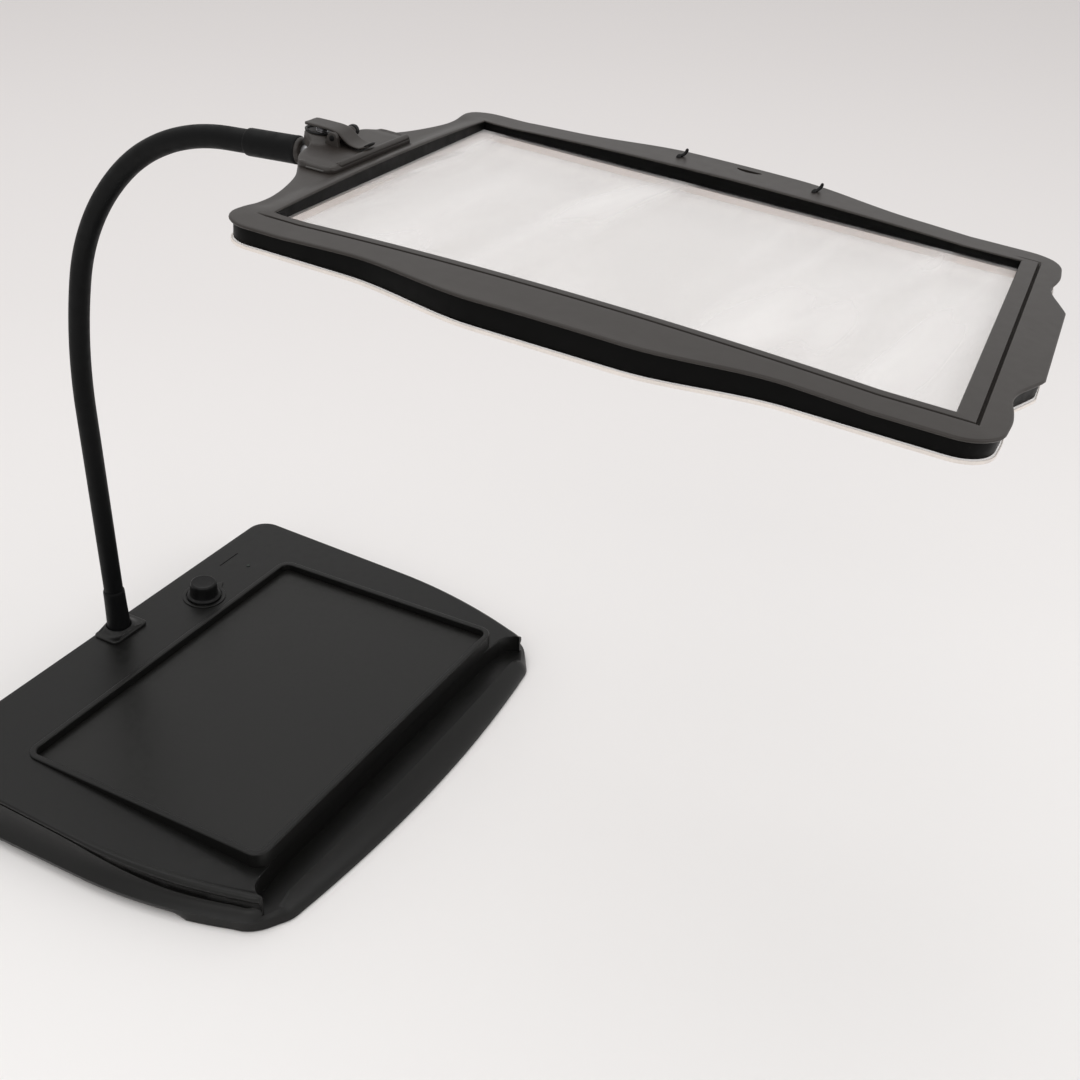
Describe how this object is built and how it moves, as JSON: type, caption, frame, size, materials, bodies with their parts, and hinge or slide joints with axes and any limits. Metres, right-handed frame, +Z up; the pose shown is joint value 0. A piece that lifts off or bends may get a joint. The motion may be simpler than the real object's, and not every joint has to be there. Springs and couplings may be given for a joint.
{
  "type": "low vision magnifier",
  "caption": "Desk magnifier: weighted tray base with dimmer knob and pen trough, gooseneck, and page-size framed sheet lens on a ball joint.",
  "frame": {"origin": "centre of the base, on the face of the grip pad that rests on the table", "axes": "+X to the reader's right, +Y away from the reader towards the gooseneck, +Z up"},
  "size_m": [0.3365, 0.5474, 0.3897],
  "materials": {
    "base_black": "fine-grained black ABS",
    "panel_black": "smooth satin black sheet",
    "grip_rubber": "matte black rubber",
    "steel_zinc": "bright zinc",
    "sleeve_black": "smooth matt black rubber sleeve",
    "knob_black": "satin black",
    "board_green": "solder-masked board",
    "led_lens": "tinted clear",
    "lead_red": "insulated lead",
    "core_steel": "wound wire",
    "frame_black": "fine-grained charcoal-black ABS",
    "skirt_black": "near-black moulding",
    "lens_clear": "clear acrylic sheet with fine grooves",
    "cover_clear": "clear acrylic plate",
    "gasket_foam": "soft black strip",
    "white_board": "white board",
    "led_white": "phosphor and white resin",
    "liner_nylon": "natural nylon"
  },
  "bodies": {
    "base": {"base_top": "base_black", "base_bottom": "base_black", "grip_pad": "grip_rubber", "ballast_plate": "steel_zinc", "ballast_screws": "steel_zinc", "base_screws": "steel_zinc", "tray_panel": "panel_black", "socket_pad": "base_black", "neck_anchor": "steel_zinc", "anchor_washer": "steel_zinc", "anchor_nut": "steel_zinc", "neck_boot": "sleeve_black", "dial_ring": "base_black", "dimmer_pot": "steel_zinc", "pot_nut": "steel_zinc", "control_board": "board_green", "indicator_lens": "led_lens", "power_inlet": "knob_black", "base_harness": "lead_red", "neck_core_0": "core_steel", "neck_lead_0": "lead_red"},
    "neck_root": {"neck_core_1": "core_steel", "neck_lead_1": "lead_red", "flex_sleeve_low": "sleeve_black"},
    "neck_low": {"neck_core_2": "core_steel", "neck_lead_2": "lead_red", "neck_sleeve_2": "sleeve_black", "flex_sleeve_mid": "sleeve_black"},
    "neck_mid": {"neck_core_3": "core_steel", "neck_lead_3": "lead_red", "neck_sleeve_3": "sleeve_black", "flex_sleeve_top": "sleeve_black"},
    "neck_tip": {"neck_core_4": "core_steel", "neck_lead_4": "lead_red", "neck_sleeve_4": "sleeve_black", "neck_ferrule": "sleeve_black", "neck_collar": "frame_black", "swivel_ball": "core_steel"},
    "ball_ring": {"ball_liner": "liner_nylon"},
    "head": {"bracket_plate": "frame_black", "latch_pin": "steel_zinc", "latch_spring": "steel_zinc", "top_bezel": "frame_black", "lower_housing": "skirt_black", "fresnel_lens": "lens_clear", "lens_gasket": "gasket_foam", "bottom_cover": "cover_clear", "led_board_left": "white_board", "led_board_right": "white_board", "leds": "led_white", "head_screws": "steel_zinc", "accessory_hooks": "knob_black", "head_harness": "lead_red"},
    "latch": {"latch_lever": "frame_black"},
    "knob": {"dimmer_knob": "knob_black", "pot_shaft": "steel_zinc"}
  },
  "joints": [
    {"name": "neck_side_lean", "type": "hinge", "parent": "base", "child": "neck_root", "pos_m": [-0.002, 0.1175, 0.075], "axis": [0.0673, -0.9977, 0], "range_deg": [-20, 20], "deforming": ["flex_sleeve_low"]},
    {"name": "neck_low_bend", "type": "hinge", "parent": "neck_root", "child": "neck_low", "pos_m": [-0.002, 0.1175, 0.105], "axis": [0.9977, 0.0673, 0], "range_deg": [-15, 15]},
    {"name": "neck_mid_bend", "type": "hinge", "parent": "neck_low", "child": "neck_mid", "pos_m": [-0.00126, 0.10659, 0.27754], "axis": [0.9977, 0.0673, 0], "range_deg": [-15, 15], "deforming": ["flex_sleeve_mid"]},
    {"name": "neck_top_bend", "type": "hinge", "parent": "neck_mid", "child": "neck_tip", "pos_m": [0.00156, 0.06479, 0.34652], "axis": [0.9977, 0.0673, 0], "range_deg": [-20, 20], "deforming": ["flex_sleeve_top"]},
    {"name": "head_swivel", "type": "hinge", "parent": "neck_tip", "child": "ball_ring", "pos_m": [0.00993, -0.0593, 0.37305], "axis": [0, 0, 1], "range_deg": [-30, 30]},
    {"name": "head_tilt", "type": "hinge", "parent": "ball_ring", "child": "head", "pos_m": [0.00993, -0.0593, 0.37305], "axis": [-0.9934, -0.1006, 0.0544], "range_deg": [-25, 25]},
    {"name": "latch_press", "type": "hinge", "parent": "head", "child": "latch", "pos_m": [0.01174, -0.07128, 0.38399], "axis": [-0.9934, -0.1006, 0.0544], "range_deg": [0, 5], "stiffness_Nm_per_rad": 0.4, "springref_deg": -5.73, "deforming": ["latch_spring"]},
    {"name": "dimmer_turn", "type": "hinge", "parent": "base", "child": "knob", "pos_m": [0.0585, 0.097, 0.0297], "axis": [0, -0.0499, 0.9988], "range_deg": [-135, 135]}
  ]
}
